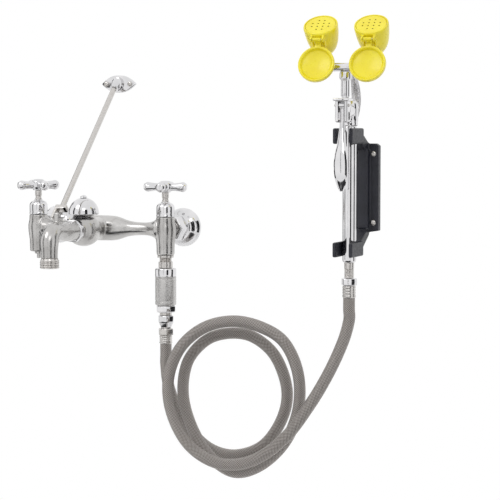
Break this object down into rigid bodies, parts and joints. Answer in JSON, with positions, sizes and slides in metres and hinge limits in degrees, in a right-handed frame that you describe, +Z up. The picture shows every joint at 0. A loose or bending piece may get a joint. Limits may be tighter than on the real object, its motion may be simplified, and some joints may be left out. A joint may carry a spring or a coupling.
{
  "type": "faucet-fed eyewash station",
  "caption": "Wall-mounted service faucet with a check valve and braided hose feeding a twin-head eyewash and drench handset held in a wall bracket.",
  "frame": {"origin": "on the wall plane, midway between the two supply inlets, at the height of the faucet body's axis", "axes": "+X right along the wall, +Y into the wall, +Z up; the front faces -Y"},
  "size_m": [0.5687, 0.2231, 0.6311],
  "materials": {
    "brace_flange": "polished chrome",
    "brace_pin": "satin stainless",
    "brace_rod": "satin stainless",
    "brace_screw_left": "satin stainless",
    "brace_screw_right": "satin stainless",
    "bracket_screw_bottom_left": "satin stainless",
    "bracket_screw_bottom_right": "satin stainless",
    "bracket_screw_top_left": "satin stainless",
    "bracket_screw_top_right": "satin stainless",
    "check_valve_body": "satin stainless",
    "check_valve_cap": "polished chrome",
    "check_valve_nut": "polished chrome",
    "cross_pipe": "polished chrome",
    "dome_screw": "polished chrome",
    "faucet_body": "rough chrome over a cast surface",
    "faucet_end_ferrule": "satin stainless",
    "faucet_end_hex": "satin stainless",
    "handle_tube": "polished chrome",
    "handset_end_ferrule": "satin stainless",
    "handset_hose_nut": "polished chrome",
    "hose_nipple": "satin stainless",
    "hose_swivel_nut": "polished chrome",
    "left_bonnet": "polished chrome",
    "left_drain_plug": "rough chrome over a cast surface",
    "left_escutcheon": "polished chrome",
    "left_handle": "polished chrome",
    "left_inlet_shank": "satin stainless",
    "left_lid": "bright yellow semi-gloss moulded plastic",
    "left_lid_pin": "satin stainless",
    "left_spray_face": "bright yellow semi-gloss moulded plastic",
    "left_spray_head": "bright yellow semi-gloss moulded plastic",
    "left_stem": "satin stainless",
    "left_union_nut": "polished chrome",
    "lever_pivot_pin": "satin stainless",
    "outlet_adapter": "satin stainless",
    "outlet_nipple": "satin stainless",
    "rear_hook": "polished chrome",
    "right_bonnet": "polished chrome",
    "right_escutcheon": "polished chrome",
    "right_handle": "polished chrome",
    "right_inlet_shank": "satin stainless",
    "right_lid": "bright yellow semi-gloss moulded plastic",
    "right_lid_pin": "satin stainless",
    "right_spray_face": "bright yellow semi-gloss moulded plastic",
    "right_spray_head": "bright yellow semi-gloss moulded plastic",
    "right_stem": "satin stainless",
    "right_union_nut": "polished chrome",
    "riser": "polished chrome",
    "spout": "rough chrome over a cast surface",
    "spout_coupling_ring": "polished chrome",
    "squeeze_lever": "polished chrome",
    "squeeze_valve_body": "polished chrome",
    "supply_hose": "fine stainless braid over rubber",
    "tube_adapter": "satin stainless",
    "vacuum_breaker_dome": "polished chrome",
    "vacuum_breaker_float": "black moulded rubber",
    "valve_plunger": "polished chrome",
    "wall_bracket": "matte black moulded plastic"
  },
  "bodies": {
    "root": {"brace_flange": "brace_flange", "brace_pin": "brace_pin", "brace_rod": "brace_rod", "brace_screw_left": "brace_screw_left", "brace_screw_right": "brace_screw_right", "bracket_screw_bottom_left": "bracket_screw_bottom_left", "bracket_screw_bottom_right": "bracket_screw_bottom_right", "bracket_screw_top_left": "bracket_screw_top_left", "bracket_screw_top_right": "bracket_screw_top_right", "check_valve_body": "check_valve_body", "check_valve_cap": "check_valve_cap", "check_valve_nut": "check_valve_nut", "dome_screw": "dome_screw", "faucet_body": "faucet_body", "faucet_end_ferrule": "faucet_end_ferrule", "faucet_end_hex": "faucet_end_hex", "hose_nipple": "hose_nipple", "hose_swivel_nut": "hose_swivel_nut", "left_bonnet": "left_bonnet", "left_drain_plug": "left_drain_plug", "left_escutcheon": "left_escutcheon", "left_inlet_shank": "left_inlet_shank", "left_union_nut": "left_union_nut", "outlet_adapter": "outlet_adapter", "outlet_nipple": "outlet_nipple", "right_bonnet": "right_bonnet", "right_escutcheon": "right_escutcheon", "right_inlet_shank": "right_inlet_shank", "right_union_nut": "right_union_nut", "spout": "spout", "spout_coupling_ring": "spout_coupling_ring", "supply_hose": "supply_hose", "vacuum_breaker_dome": "vacuum_breaker_dome", "wall_bracket": "wall_bracket"},
    "handset": {"handle_tube": "handle_tube", "tube_adapter": "tube_adapter", "handset_hose_nut": "handset_hose_nut", "handset_end_ferrule": "handset_end_ferrule", "squeeze_valve_body": "squeeze_valve_body", "lever_pivot_pin": "lever_pivot_pin", "rear_hook": "rear_hook", "riser": "riser", "cross_pipe": "cross_pipe", "left_spray_head": "left_spray_head", "right_spray_head": "right_spray_head", "left_spray_face": "left_spray_face", "right_spray_face": "right_spray_face", "left_lid_pin": "left_lid_pin", "right_lid_pin": "right_lid_pin"},
    "left_valve": {"left_handle": "left_handle", "left_stem": "left_stem"},
    "right_valve": {"right_handle": "right_handle", "right_stem": "right_stem"},
    "float": {"vacuum_breaker_float": "vacuum_breaker_float"},
    "lever": {"squeeze_lever": "squeeze_lever"},
    "plunger": {"valve_plunger": "valve_plunger"},
    "left_lid": {"left_lid": "left_lid"},
    "right_lid": {"right_lid": "right_lid"}
  },
  "joints": [
    {"name": "left_valve_turn", "type": "hinge", "parent": "root", "child": "left_valve", "pos_m": [-0.1016, -0.06, 0.052], "axis": [0, 0, 1], "range_deg": [0, 90]},
    {"name": "right_valve_turn", "type": "hinge", "parent": "root", "child": "right_valve", "pos_m": [0.1016, -0.06, 0.052], "axis": [0, 0, 1], "range_deg": [-90, 0]},
    {"name": "float_lift", "type": "slide", "parent": "root", "child": "float", "axis": [0, 0, 1], "range_m": [0, 0.004]},
    {"name": "handset_turn", "type": "hinge", "parent": "root", "child": "handset", "pos_m": [0.376, -0.062, 0.058], "axis": [0, 0, 1], "range_deg": [-30, 30]},
    {"name": "lever_squeeze", "type": "hinge", "parent": "handset", "child": "lever", "pos_m": [0.38039, -0.10377, 0.172], "axis": [0.9945, 0.1045, 0], "range_deg": [0, 11], "stiffness_Nm_per_rad": 0.6, "springref_deg": -11.46},
    {"name": "plunger_slide", "type": "slide", "parent": "handset", "child": "plunger", "axis": [-0.1045, 0.9945, 0], "range_m": [0, 0.0028]},
    {"name": "left_lid_swing", "type": "hinge", "parent": "handset", "child": "left_lid", "pos_m": [0.34619, -0.10839, 0.25839], "axis": [0.9945, 0.1045, 0], "range_deg": [-214, 0]},
    {"name": "right_lid_swing", "type": "hinge", "parent": "handset", "child": "right_lid", "pos_m": [0.41481, -0.10117, 0.25839], "axis": [0.9945, 0.1045, 0], "range_deg": [-214, 0]}
  ],
  "couplings": [
    {"joint": "plunger_slide", "follows": "lever_squeeze", "m_per_rad": 0.014}
  ]
}
